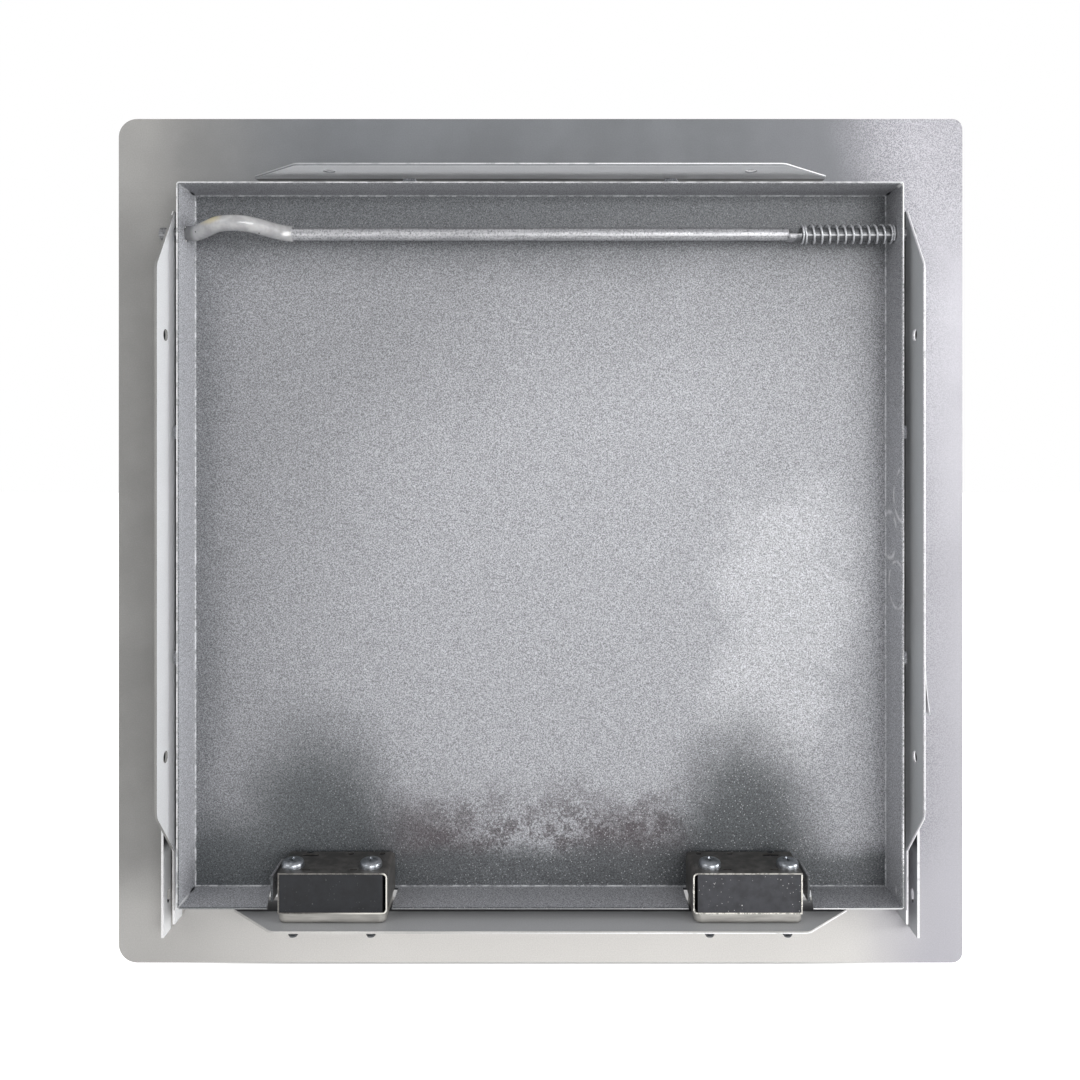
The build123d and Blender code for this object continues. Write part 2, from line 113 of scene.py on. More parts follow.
def between(tree, value, low, high, start=0.0, end=1.0):
    """A value that goes smoothly from start to end as the input goes from low to high."""
    spread = tree.nodes.new("ShaderNodeMapRange")
    spread.interpolation_type = "SMOOTHSTEP"
    put(tree, spread.inputs["Value"], value)
    for socket, number in (("From Min", low), ("From Max", high), ("To Min", start), ("To Max", end)):
        spread.inputs[socket].default_value = number
    return spread.outputs["Result"]


def calc(tree, operation, first, second=0.0):
    """One sum on two values."""
    sums = tree.nodes.new("ShaderNodeMath")
    sums.operation = operation
    put(tree, sums.inputs[0], first)
    put(tree, sums.inputs[1], second)
    return sums.outputs[0]


def blend_colour(tree, amount, first, second, way="MIX"):
    """Second colour over the first, by this amount."""
    mixer = tree.nodes.new("ShaderNodeMix")
    mixer.data_type = "RGBA"
    mixer.blend_type = way
    put(tree, mixer.inputs[0], amount)
    put(tree, mixer.inputs[6], first)
    put(tree, mixer.inputs[7], second)
    return mixer.outputs[2]


def relief(tree, shader, height, depth, strength=1.0):
    """Small relief in the surface, this deep in metres."""
    bump = tree.nodes.new("ShaderNodeBump")
    bump.inputs["Strength"].default_value = strength
    bump.inputs["Distance"].default_value = depth
    put(tree, bump.inputs["Height"], height)
    tree.links.new(bump.outputs["Normal"], shader.inputs["Normal"])


def dress(names, finish):
    """Give CAD pieces their finish."""
    for name in names:
        cad[name].data.materials.clear()
        cad[name].data.materials.append(finish)


def spot(tree, centre, reach, ragged=0.0, grain=60):
    """1 near a place on the object, fading to 0 at this reach along each axis."""
    distance = tree.nodes.new("ShaderNodeVectorMath")
    distance.operation = "LENGTH"
    put(tree, distance.inputs[0], place(tree, centre, reach))
    away = distance.outputs["Value"]
    if ragged:
        edge = calc(tree, "MULTIPLY", calc(tree, "SUBTRACT", noise(tree, grain, 4, 0.6), 0.5), ragged)
        away = calc(tree, "ADD", away, edge)
    return between(tree, away, 0.35, 1.0, 1.0, 0.0)


def times(tree, *values):
    """Product of several values."""
    product = values[0]
    for value in values[1:]:
        product = calc(tree, "MULTIPLY", product, value)
    return product


def shade(tree, colour, factor):
    """Colour made lighter or darker by a factor."""
    return blend_colour(tree, 1.0, colour, factor, "MULTIPLY")


zinc_warm = (0.245, 0.242, 0.235)
zinc_cool_painted_shade = (0.162, 0.170, 0.182)
zinc_lilac_painted_light = (0.51, 0.502, 0.542)
zinc_painted_light = (0.66, 0.645, 0.625)
zinc_edge = (0.90, 0.90, 0.91)
overspray = (0.17, 0.172, 0.19)
flap_left_painted_light = (0.86, 0.87, 0.89)
flap_top_painted_light = (0.78, 0.79, 0.81)
flap_right_painted_light = (0.46, 0.475, 0.49)
flap_foot_painted_light = (0.47, 0.475, 0.485)
shadow_line_dark = (0.03, 0.03, 0.034)
tilted = (0.5, 0.7, 0.3)
half_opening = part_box("right_side_channel")[0].x
low_edge_depth = 0.0108
zinc, tree, shader = new_finish("frame_zinc", 0.5, 0.12)
across, depth, up = axes(tree)
facing = axes(tree, tree.nodes.new("ShaderNodeTexCoord").outputs["Normal"])
drift = times(tree, calc(tree, "SUBTRACT", noise(tree, 14, 3), 0.5), 0.05)
wide = calc(tree, "ADD", across, drift)
high = calc(tree, "ADD", up, drift)
# Painted shade: the flange turns cooler and darker towards its top left.
colour = blend_colour(tree, times(tree, between(tree, high, 0.06, 0.160), between(tree, wide, -0.178, -0.09)),
                      zinc_warm, zinc_cool_painted_shade)
colour = shade(tree, colour, between(tree, noise(tree, 24, 4, 0.6), 0.3, 0.7, 0.92, 1.1))
# Painted light: paler zinc along the bottom and faintly at the top-left corner, and a pale lilac tone over the right
# side, a little less pale lower down.
painted_light_corner = times(tree, between(tree, high, 0.11, 0.16), between(tree, wide, -0.15, -0.178), 0.1)
right_side = between(tree, wide, 0.122, 0.168)
painted_light_bottom = times(tree, between(tree, high, -0.139, -0.173), between(tree, wide, -0.19, -0.06, 0.42, 1.0))
colour = blend_colour(tree, calc(tree, "MAXIMUM", painted_light_corner, painted_light_bottom), colour, zinc_painted_light)
lilac = shade(tree, (*zinc_lilac_painted_light, 1.0), between(tree, high, 0.02, 0.12, 0.84, 1.0))
colour = blend_colour(tree, right_side, colour, lilac)
near_fold = between(tree, calc(tree, "ADD", across, times(tree, drift, 0.35)), half_opening, half_opening + 0.029, 1.0, 0.12)
upper = times(tree, between(tree, high, 0.10, 0.15), between(tree, wide, 0.05, 0.11))
sprayed = calc(tree, "MAXIMUM", near_fold, times(tree, upper, 0.8))
specks = between(tree, noise(tree, 1900, 3, 0.75, place(tree, turn=tilted)), 0.43, 0.58)
sprayed = times(tree, sprayed, specks, between(tree, across, 0.07, 0.125), between(tree, up, -0.155, -0.12))
sprayed = times(tree, sprayed, calc(tree, "LESS_THAN", facing["Y"], -0.9))
colour = blend_colour(tree, times(tree, sprayed, 0.85), colour, overspray)
rightwards = times(tree, calc(tree, "GREATER_THAN", facing["X"], 0.5), calc(tree, "LESS_THAN", across, -0.15))
leftwards = times(tree, calc(tree, "LESS_THAN", facing["X"], -0.5), calc(tree, "GREATER_THAN", across, 0.15))
downwards = times(tree, calc(tree, "LESS_THAN", facing["Z"], -0.5), calc(tree, "GREATER_THAN", up, 0.15))
upwards = times(tree, calc(tree, "GREATER_THAN", facing["Z"], 0.5), calc(tree, "LESS_THAN", up, -0.15))
beside_door = between(tree, up, -0.134, -0.128)
# Painted light and shade: each flap's inner face gets its own lit tone, with a thin painted shadow line where the
# door's edge passes in front of it.
for inner_face, tone, shaded_to, stretch_of_door in (
    (rightwards, flap_left_painted_light, -0.0117, beside_door), (leftwards, flap_right_painted_light, -0.0112, beside_door),
    (downwards, flap_top_painted_light, -0.0098, 1.0), (upwards, flap_foot_painted_light, -0.0135, 1.0),
):
    flap_face = times(tree, inner_face, between(tree, depth, -0.002, -0.004))
    colour = blend_colour(tree, flap_face, colour, tone)
    painted_shadow_line = between(tree, depth, shaded_to + 0.0002, shaded_to - 0.0006, 0.97, 0.0)
    colour = blend_colour(tree, times(tree, flap_face, painted_shadow_line, stretch_of_door), colour, shadow_line_dark)
# Painted light on the left flap's inner face up to 18 mm out from the flange, and painted shade beyond 20 mm.
painted_light_by_depth = between(tree, depth, -0.0180, -0.0200, 1.2, 0.86)
painted_light_lift = calc(tree, "ADD", times(tree, rightwards, calc(tree, "SUBTRACT", painted_light_by_depth, 1.0)), 1.0)
colour = shade(tree, colour, painted_light_lift)
broad_smear = spot(tree, (half_opening, -0.024, -0.018), (0.01, 0.011, 0.022), 0.8, 120)
colour = blend_colour(tree, times(tree, broad_smear, leftwards, 0.4), colour, (0.42, 0.42, 0.43))
# Cut edges: bare bright zinc, with a painted highlight that is strongest towards the right.
back_edge = times(tree, calc(tree, "LESS_THAN", facing["Y"], -0.35), calc(tree, "LESS_THAN", depth, -low_edge_depth))
thin = between(tree, calc(tree, "MAXIMUM", calc(tree, "ABSOLUTE", across), calc(tree, "ABSOLUTE", up)),
               half_opening + 0.0004, half_opening + 0.0007)
on_side = calc(tree, "GREATER_THAN", calc(tree, "ABSOLUTE", across), half_opening - 0.0001)
side_shine = between(tree, across, -0.15, 0.15, 0.0, 1.0)
low_leg = times(tree, calc(tree, "GREATER_THAN", depth, -0.013), 0.8)
top_shine = times(tree, calc(tree, "GREATER_THAN", up, 0.1), between(tree, across, -0.13, 0.08, 0.25, 0.9))
foot_shine = times(tree, calc(tree, "LESS_THAN", up, -0.1), between(tree, across, -0.06, 0.05, 0.0, 1.0))
shine = calc(tree, "MAXIMUM", times(tree, on_side, calc(tree, "MAXIMUM", side_shine, low_leg)),
             times(tree, calc(tree, "SUBTRACT", 1.0, on_side), calc(tree, "MAXIMUM", top_shine, foot_shine)))
bare_edge_and_highlight = times(tree, back_edge, thin, shine, between(tree, noise(tree, 240, 3), 0.3, 0.45, 0.55, 1.0))
colour = blend_colour(tree, bare_edge_and_highlight, colour, zinc_edge)
colour = shade(tree, colour, between(tree, noise(tree, 1900, 2), 0.3, 0.75, 0.94, 1.05))
put(tree, shader.inputs["Base Color"], colour)
put(tree, shader.inputs["Roughness"], between(tree, noise(tree, 30, 4), 0.3, 0.7, 0.42, 0.56))
relief(tree, shader, noise(tree, 1400, 2), 0.00004, 0.4)
dress(("frame_plate", "left_side_channel", "right_side_channel"), zinc)


# Door pan: one sheet with its walls folded back, and a strike welded inside for each latch.
# Zinc-coated sheet under a coarse-grained grey primer with painted glints, rubbed bright along the
# folds and the cut edges, with a painted highlight on those edges, and smudged where hands have been.
# Painted light and shade tone the skin and walls, and the latches cast painted shadows on the skin.

primer_grey = (0.345, 0.35, 0.372)
primer_painted_shade = (0.074, 0.081, 0.087)
primer_rust = (0.080, 0.069, 0.076)
primer_light = (0.50, 0.505, 0.53)
primer_front = (0.56, 0.57, 0.58)
glue = (0.78, 0.78, 0.79)
inner_wall = 0.1515
pan_depth = 0.020
primer, tree, shader = new_finish("door_primer", 0.5, 0.08)
across, depth, up = axes(tree)
facing = axes(tree, tree.nodes.new("ShaderNodeTexCoord").outputs["Normal"])
ripple = calc(tree, "SUBTRACT", noise(tree, 26, 5, 0.62), 0.5)
low = calc(tree, "ADD", up, times(tree, ripple, 0.05))
on_skin = calc(tree, "LESS_THAN", facing["Y"], -0.7)
lit = spot(tree, (0.062, 0, -0.035), (0.235, 1, 0.200), 0.3, 14)
colour = shade(tree, primer_grey, between(tree, lit, 0.0, 1.0, 0.73, 1.0))
patch = spot(tree, (0.109, 0, -0.022), (0.045, 1, 0.062), 1.1, 45)
patch = calc(tree, "MAXIMUM", patch, spot(tree, (0.098, 0, -0.072), (0.04, 1, 0.045), 1.2, 50))
colour = blend_colour(tree, times(tree, patch, on_skin, 0.75), colour, primer_light)
head_shade = between(tree, calc(tree, "ADD", up, times(tree, ripple, 0.02)), 0.108, 0.142)
left_shade = between(tree, calc(tree, "ADD", across, times(tree, ripple, 0.02)), -0.132, -0.15)
colour = blend_colour(tree, times(tree, calc(tree, "MAXIMUM", head_shade, times(tree, left_shade, 0.6)), on_skin, 0.7),
                      colour, primer_painted_shade)
blotches = calc(tree, "ADD", noise(tree, 110, 5, 0.75, place(tree, turn=tilted)), times(tree, noise(tree, 800, 3), 0.7))
blotches = between(tree, blotches, 0.74, 0.96)
rust = times(tree, between(tree, low, -0.098, -0.132), blotches, on_skin)
rust = times(tree, rust, between(tree, calc(tree, "ABSOLUTE", calc(tree, "SUBTRACT", across, 0.01)), 0.07, 0.12, 1.0, 0.0))
colour = blend_colour(tree, times(tree, rust, 0.9), colour, primer_rust)
for rest_at, rest_wide in ((-0.052, 0.042), (0.040, 0.046)):
    low_rest = spot(tree, (rest_at, 0, -0.142), (rest_wide, 1, 0.032), 0.9, 40)
    colour = blend_colour(tree, times(tree, low_rest, on_skin, 0.7), colour, primer_rust)
# Painted shadows of the latches: dark patches on the skin above each latch, and one more at the bottom left.
for lobe_at, lobe_wide, lobe_high in ((-0.098, 0.052, 0.090), (0.090, 0.046, 0.088), (-0.140, 0.034, 0.034)):
    painted_latch_shadow = spot(tree, (lobe_at, 0, -0.146), (lobe_wide, 1, lobe_high), 0.3, 30)
    colour = blend_colour(tree, times(tree, painted_latch_shadow, on_skin, 0.95), colour, primer_painted_shade)
foot_shade = times(tree, between(tree, calc(tree, "ADD", up, times(tree, ripple, 0.02)), -0.129, -0.141), on_skin)
colour = blend_colour(tree, times(tree, foot_shade, 0.85), colour, primer_painted_shade)
grain = between(tree, noise(tree, 1850, 3, 0.75, place(tree, turn=tilted)), 0.36, 0.66, 0.48, 1.55)
colour = shade(tree, colour, grain)
# Painted glints in the primer, stronger where the skin is painted lighter.
painted_glints = between(tree, cells(tree, 760, place(tree, turn=tilted)), 0.08, 0.22, 0.55, 0.0)
colour = blend_colour(tree, times(tree, painted_glints, between(tree, lit, 0.0, 1.0, 0.35, 1.0)), colour, (0.8, 0.81, 0.83))
# Painted light: each wall of the pan is lightened by its own factor, most on the left wall and on the left of the
# bottom wall.
beyond_skin = calc(tree, "LESS_THAN", depth, -0.0006)
for wall_face, tone in (
    (times(tree, calc(tree, "LESS_THAN", across, -0.1514), calc(tree, "GREATER_THAN", facing["X"], 0.5)), 1.65),
    (times(tree, calc(tree, "GREATER_THAN", across, 0.1514), calc(tree, "LESS_THAN", facing["X"], -0.5)), 1.08),
    (times(tree, calc(tree, "GREATER_THAN", up, 0.1514), calc(tree, "LESS_THAN", facing["Z"], -0.5)), 1.15),
    (times(tree, calc(tree, "LESS_THAN", up, -0.1514), calc(tree, "GREATER_THAN", facing["Z"], 0.5)),
     between(tree, across, -0.12, 0.0, 1.75, 1.1)),
):
    painted_light_lift = times(tree, wall_face, beyond_skin, calc(tree, "SUBTRACT", tone, 1.0))
    colour = shade(tree, colour, calc(tree, "ADD", painted_light_lift, 1.0))
reach = calc(tree, "MAXIMUM", calc(tree, "ABSOLUTE", across), calc(tree, "ABSOLUTE", up))
fold = times(tree, calc(tree, "GREATER_THAN", reach, 0.15095), calc(tree, "GREATER_THAN", depth, -0.0006))
upright = calc(tree, "GREATER_THAN", calc(tree, "ABSOLUTE", across), 0.15095)
rubbed = between(tree, noise(tree, 420, 3, 0.6), 0.4, 0.62, 0.15, 0.8)
colour = blend_colour(tree, times(tree, fold, rubbed, between(tree, upright, 0.0, 1.0, 0.75, 1.0)), colour, (0.62, 0.63, 0.65))
# Cut edges of the pan's walls: bare zinc, speckled on the right, with a painted highlight on them.
bright_edge_and_highlight = times(tree, calc(tree, "LESS_THAN", facing["Y"], -0.35), calc(tree, "LESS_THAN", depth, 0.0005 - pan_depth))
bright_edge_and_highlight = times(tree, bright_edge_and_highlight, between(tree, reach, inner_wall + 0.0004, inner_wall + 0.0007))
at_top = times(tree, calc(tree, "GREATER_THAN", up, inner_wall), between(tree, noise(tree, 210, 2), 0.4, 0.6, 0.35, 0.7))
at_left = times(tree, calc(tree, "LESS_THAN", across, -inner_wall), between(tree, noise(tree, 330, 2), 0.4, 0.5, 0.45, 0.9))
at_right = times(tree, calc(tree, "GREATER_THAN", across, inner_wall),
                 between(tree, calc(tree, "ADD", noise(tree, 25, 1), noise(tree, 900, 2)), 0.92, 1.04, 0.2, 1.0))
at_foot = times(tree, calc(tree, "LESS_THAN", up, -inner_wall), between(tree, across, 0.0, 0.12, 0.2, 0.85))
bright_edge_and_highlight = times(tree, bright_edge_and_highlight, calc(tree, "MAXIMUM", calc(tree, "MAXIMUM", at_top, at_left), calc(tree, "MAXIMUM", at_right, at_foot)))
colour = blend_colour(tree, bright_edge_and_highlight, colour, zinc_edge)
corner_line = (0.0009, 0.0085, 0.0009)
for mark, size, strength in (
    ((-inner_wall, -0.014, -inner_wall), corner_line, 0.8),
    ((-inner_wall, -0.014, inner_wall), corner_line, 0.3),
    ((inner_wall, -0.0175, inner_wall), (0.0013, 0.0035, 0.0013), 1.0),
    ((inner_wall, -0.013, -inner_wall + 0.004), (0.0015, 0.0012, 0.0022), 0.5),
):
    colour = blend_colour(tree, times(tree, spot(tree, mark, size), strength), colour, zinc_edge)
for side_x, side_z in ((-inner_wall, inner_wall), (-inner_wall, -inner_wall), (inner_wall, inner_wall)):
    slit = spot(tree, (side_x, -0.0035, side_z), (0.0010, 0.0042, 0.0010))
    colour = blend_colour(tree, slit, colour, (0.01, 0.01, 0.012))
on_right_wall = times(tree, calc(tree, "GREATER_THAN", across, inner_wall - 0.0002), calc(tree, "LESS_THAN", facing["X"], -0.5))
for smear_depth, smear_level, smear_reach, smear_width in (
    (-0.014, -0.0175, 0.0100, 0.0011), (-0.021, 0.021, 0.0110, 0.0014), (-0.004, 0.003, 0.0100, 0.0018),
):
    ring = tree.nodes.new("ShaderNodeVectorMath")
    ring.operation = "LENGTH"
    put(tree, ring.inputs[0], place(tree, (inner_wall, smear_depth, smear_level)))
    off_ring = calc(tree, "ABSOLUTE", calc(tree, "SUBTRACT", ring.outputs["Value"], smear_reach))
    stroke = times(tree, between(tree, off_ring, 0.0, smear_width, 1.0, 0.0), between(tree, noise(tree, 160, 2), 0.4, 0.55))
    colour = blend_colour(tree, times(tree, stroke, on_right_wall, 0.7), colour, glue)
outside = calc(tree, "GREATER_THAN", depth, 0.0004)
colour = blend_colour(tree, outside, colour, primer_front)
put(tree, shader.inputs["Base Color"], colour)
relief(tree, shader, noise(tree, 1500, 2, 0.6, place(tree, turn=tilted)), 0.00008, 0.6)
dress(("door_pan", "left_strike", "right_strike"), primer)


# Hinge rod: drawn steel bar, zinc-plated, with a bowed grip and a pinched stop.
# It is straight and pale, speckled with dulled plate, with a painted highlight along its rounded back
# and painted shade on its upper side, under the spring's turns and at its left end.

rod_plate, tree, shader = new_finish("rod_plate", 0.32, 0.35)
across, depth, up = axes(tree)
lines = noise(tree, 900, 3, 0.6, place(tree, stretch=(14, 1, 1)))
colour = blend_colour(tree, between(tree, lines, 0.3, 0.7), (0.35, 0.35, 0.37), (0.52, 0.52, 0.54))
dull = between(tree, noise(tree, 1300, 2, 0.7), 0.46, 0.62, 0.0, 0.75)
colour = blend_colour(tree, dull, colour, (0.2, 0.205, 0.21))
rod_axis = (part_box("return_spring")[0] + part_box("return_spring")[1]) / 2
lit_line = between(tree, calc(tree, "ABSOLUTE", calc(tree, "SUBTRACT", up, rod_axis.z - 0.0009)), 0.0, 0.00035, 1.0, 0.0)
lit_line = times(tree, lit_line, calc(tree, "LESS_THAN", depth, rod_axis.y), between(tree, across, -0.02, 0.08, 0.2, 0.95))
# Painted shade on the rod under the spring's turns and at its left end.
rod_painted_shade = times(tree, between(tree, across, 0.1085, 0.1095, 0.0, 0.85), calc(tree, "LESS_THAN", across, inner_wall))
rod_painted_shade = calc(tree, "MAXIMUM", rod_painted_shade, between(tree, across, -0.1525, -0.154, 0.0, 0.6))
colour = blend_colour(tree, rod_painted_shade, colour, (0.085, 0.09, 0.095))
colour = blend_colour(tree, lit_line, colour, (0.92, 0.92, 0.94))
# Painted shade on the rod's upper side.
painted_shade_upper_side = between(tree, calc(tree, "SUBTRACT", up, rod_axis.z), 0.0012, 0.0024, 0.0, 0.6)
colour = blend_colour(tree, painted_shade_upper_side, colour, (0.12, 0.125, 0.13))
put(tree, shader.inputs["Base Color"], colour)
put(tree, shader.inputs["Roughness"], between(tree, noise(tree, 800, 2), 0.3, 0.7, 0.26, 0.42))
relief(tree, shader, noise(tree, 1300, 2), 0.00006, 0.4)
dress(("hinge_rod",), rod_plate)


# Grip sleeve: soft pale vinyl tube pushed over the bow of the rod.
# It is glossy, a little yellowed at one place and flecked with dirt, with painted shade where it
# meets the wall and a small painted highlight.

sleeve, tree, shader = new_finish("grip_vinyl", 0.2)
body = blend_colour(tree, between(tree, noise(tree, 160, 3, 0.6), 0.3, 0.7), (0.30, 0.30, 0.305), (0.42, 0.42, 0.425))
stain = spot(tree, (-0.1385, -0.022, 0.1370), (0.0075, 0.02, 0.0035), 0.5, 300)
colour = blend_colour(tree, times(tree, stain, 0.6), body, (0.52, 0.44, 0.22))
flecks = between(tree, cells(tree, 210), 0.06, 0.1, 1.0, 0.0)
colour = blend_colour(tree, flecks, colour, (0.06, 0.06, 0.055))
# Painted shade where the sleeve meets the wall.
painted_shade_at_wall = between(tree, axes(tree)["X"], -0.1495, -0.146, 0.8, 0.0)
colour = blend_colour(tree, painted_shade_at_wall, colour, (0.10, 0.105, 0.11))
# Painted highlight: a small bright spot on the sleeve.
tip = spot(tree, (-0.1075, -0.0155, 0.1315), (0.003, 0.003, 0.0012))
colour = blend_colour(tree, tip, colour, (0.95, 0.95, 0.96))
put(tree, shader.inputs["Base Color"], colour)
shader.inputs["Subsurface Weight"].default_value = 0.15
shader.inputs["Subsurface Radius"].default_value = (0.002, 0.0016, 0.0012)
shader.inputs["Coat Weight"].default_value = 0.7
shader.inputs["Coat Roughness"].default_value = 0.06
relief(tree, shader, noise(tree, 260, 2), 0.0002, 0.35)
dress(("grip_sleeve",), sleeve)


# Return spring: round bright wire wound over the rod, between its stop and the door's wall.
# The last turn at each end lies closed on the next, as a compression spring is wound.

def wound_spring(name, node, along, wire, turns, closed, finish, body):
    """Detailed coil in the place of a plain one, with closed turns at both ends."""
    low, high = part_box(node)
    centre = (low + high) / 2
    half = (high - low) / 2
    main = "XY".index(along)
    radius = half["YX".index(along)] - wire / 2
    start = low[main] + wire / 2
    travel = 2 * half[main] - wire
    open_turns = turns - 2 * closed
    open_pitch = (travel - 2 * closed * wire * 1.08) / open_turns
    steps = 40
    wound = bpy.data.curves.new(name, "CURVE")
    wound.dimensions = "3D"
    spline = wound.splines.new("POLY")
    spline.points.add(int(turns * steps))
    for index, point in enumerate(spline.points):
        turn = index / steps
        tail = max(0.0, turn - turns + closed)
        head = min(turn, closed)
        run = turn - head - tail
        forward = start + (head + tail) * wire * 1.08 + run * open_pitch
        angle = 2 * math.pi * turn
        sideways = -radius * math.sin(angle)
        place_of = [centre.x + sideways, centre.y + sideways, centre.z + radius * math.cos(angle)]
        place_of[main] = forward
        point.co = (*place_of, 1.0)
    wound.bevel_depth = wire / 2
    wound.bevel_resolution = 4
    wound.use_fill_caps = True
    coil = bpy.data.objects.new(name, wound)
    bpy.context.collection.objects.link(coil)
    bpy.context.view_layer.objects.active = coil
    coil.select_set(True)
    bpy.ops.object.convert(target="MESH")
    coil.data.materials.append(finish)
    bpy.ops.object.shade_smooth()
    coil.select_set(False)
    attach(coil, body)
    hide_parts(node)
    return coil


wire_zinc, tree, shader = new_finish("spring_zinc", 0.3, 0.45)
streaks = between(tree, noise(tree, 1500, 2), 0.35, 0.7)
colour = blend_colour(tree, streaks, (0.42, 0.43, 0.45), (0.66, 0.67, 0.69))
put(tree, shader.inputs["Base Color"], colour)
relief(tree, shader, noise(tree, 2500, 2), 0.00003, 0.4)
return_spring = wound_spring("return_spring_wound", "return_spring", "X", 0.0009, 13.4, 1.2, wire_zinc, "door")
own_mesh(return_spring)


# Latch cases and base trays: sheet steel, nickel-plated, folded round the moulded core.
# The plate is dark and satin on the outside, with the bare metal bright at the cut edges and a
# painted highlight on them, stronger on the right latch.

nickel, tree, shader = new_finish("latch_nickel", 0.36, 0.6)
across, depth, up = axes(tree)
facing = axes(tree, tree.nodes.new("ShaderNodeTexCoord").outputs["Normal"])
tarnish = between(tree, noise(tree, 220, 4, 0.6), 0.35, 0.68)
colour = blend_colour(tree, tarnish, (0.088, 0.084, 0.080), (0.165, 0.158, 0.149))
closed_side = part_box("right_latch_case")[0].x
foot_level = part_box("right_latch_case")[0].z
# Cut edges: bare bright metal with a painted highlight, all round on the right latch but only by the closed side and
# the bottom on the left one.
edge_face = times(tree, calc(tree, "LESS_THAN", facing["Y"], -0.35), calc(tree, "LESS_THAN", depth, -0.0249))
right_latch = calc(tree, "GREATER_THAN", across, 0.0)
near_closed = between(tree, calc(tree, "ABSOLUTE", across), closed_side + 0.0008, closed_side + 0.003, 1.0, 0.0)
near_foot = between(tree, up, foot_level + 0.0005, foot_level + 0.0012, 1.0, 0.0)
upper_edge = calc(tree, "SUBTRACT", 1.0, calc(tree, "LESS_THAN", up, foot_level + 0.0163))
chips = between(tree, noise(tree, 900, 3, 0.7), 0.42, 0.54)
right_rim = times(tree, right_latch, between(tree, upper_edge, 0.0, 1.0, 1.0, 0.45))
left_rim = calc(tree, "MAXIMUM", near_closed, times(tree, near_foot, between(tree, across, -0.1, -0.07)))
bright_edge_and_highlight = calc(tree, "MAXIMUM", times(tree, right_rim, between(tree, chips, 0.0, 1.0, 0.35, 1.0)),
           times(tree, left_rim, calc(tree, "SUBTRACT", 1.0, right_latch)))
bright_edge_and_highlight = calc(tree, "MAXIMUM", bright_edge_and_highlight, times(tree, chips, 0.1))
colour = blend_colour(tree, times(tree, bright_edge_and_highlight, edge_face), colour, (0.93, 0.91, 0.84))
put(tree, shader.inputs["Base Color"], colour)
relief(tree, shader, noise(tree, 900, 3), 0.00005, 0.4)
dress(("left_latch_case", "right_latch_case"), nickel)

tray_nickel, tree, shader = new_finish("tray_nickel", 0.34, 0.55)
brushed = noise(tree, 300, 3, 0.6, place(tree, stretch=(8, 8, 1)))
colour = blend_colour(tree, between(tree, brushed, 0.3, 0.7), (0.34, 0.33, 0.31), (0.56, 0.545, 0.51))
tray_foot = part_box("left_latch_base")[0].z
# Painted shade: the tray darkens towards its bottom edge on the flap.
colour = shade(tree, colour, between(tree, axes(tree)["Z"], tray_foot + 0.0002, tray_foot + 0.0022, 0.45, 1.0))
put(tree, shader.inputs["Base Color"], colour)
relief(tree, shader, noise(tree, 800, 2), 0.00005, 0.3)
dress(("left_latch_base", "right_latch_base"), tray_nickel)


# Latch cores: black moulded blocks that hold the jaw, the plunger and their springs.
# The moulding is matt and finely grained, with pale dust caught on its back.

moulding, tree, shader = new_finish("core_moulding", 0.62)
more_right = between(tree, axes(tree)["X"], -0.03, 0.03)
mottle = between(tree, noise(tree, 260, 4, 0.6), 0.3, 0.7, 0.75, 1.25)
colour = shade(tree, blend_colour(tree, more_right, (0.010, 0.011, 0.014), (0.034, 0.035, 0.041)), mottle)
dust = between(tree, cells(tree, 680), 0.08, 0.16, 1.0, 0.0)
caught = between(tree, noise(tree, 90, 2), 0.46, 0.6)
lint = between(tree, cells(tree, 190), 0.03, 0.06, 1.0, 0.0)
amount = calc(tree, "MAXIMUM", times(tree, dust, caught, 0.8), lint)
amount = times(tree, amount, between(tree, more_right, 0.0, 1.0, 0.12, 0.9))
colour = blend_colour(tree, amount, colour, (0.62, 0.62, 0.61))
put(tree, shader.inputs["Base Color"], colour)
relief(tree, shader, noise(tree, 1500, 2), 0.00005, 0.6)
dress(("left_latch_core", "right_latch_core"), moulding)


# Inside each latch: a plated jaw on its pin, a nylon plunger, and a spring for each.
# They are hidden at rest from the back, and show through the mouth from the front.

jaw_plate, tree, shader = new_finish("jaw_plate", 0.35, 0.9)
colour = blend_colour(tree, between(tree, noise(tree, 600, 3), 0.35, 0.65), (0.34, 0.33, 0.31), (0.5, 0.49, 0.47))
put(tree, shader.inputs["Base Color"], colour)
relief(tree, shader, noise(tree, 1200, 2), 0.00005, 0.4)
dress(("left_latch_jaw", "right_latch_jaw", "left_jaw_pin", "right_jaw_pin"), jaw_plate)

nylon, tree, shader = new_finish("plunger_nylon", 0.4)
colour = blend_colour(tree, between(tree, noise(tree, 300, 3), 0.3, 0.7), (0.66, 0.64, 0.57), (0.74, 0.72, 0.66))
put(tree, shader.inputs["Base Color"], colour)
shader.inputs["Subsurface Weight"].default_value = 0.1
relief(tree, shader, noise(tree, 900, 2), 0.00005, 0.3)
dress(("left_latch_plunger", "right_latch_plunger"), nylon)

for side in ("left", "right"):
    jaw_spring = wound_spring(
        f"{side}_jaw_spring_wound", f"{side}_jaw_spring", "X", 0.0005, 9.0, 1.0, wire_zinc, "frame"
    )
    low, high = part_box(f"{side}_jaw_spring")
    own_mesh(jaw_spring)
    push_spring = wound_spring(
        f"{side}_plunger_spring_wound", f"{side}_plunger_spring", "Y", 0.0005, 7.0, 1.0, wire_zinc, "frame"
    )
    low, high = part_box(f"{side}_plunger_spring")
    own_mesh(push_spring)


# Latch screws: pan-head machine screws with a cross recess, down through case, core and flap.
# Blue-grey zinc plate, darker on the thread below the flap.

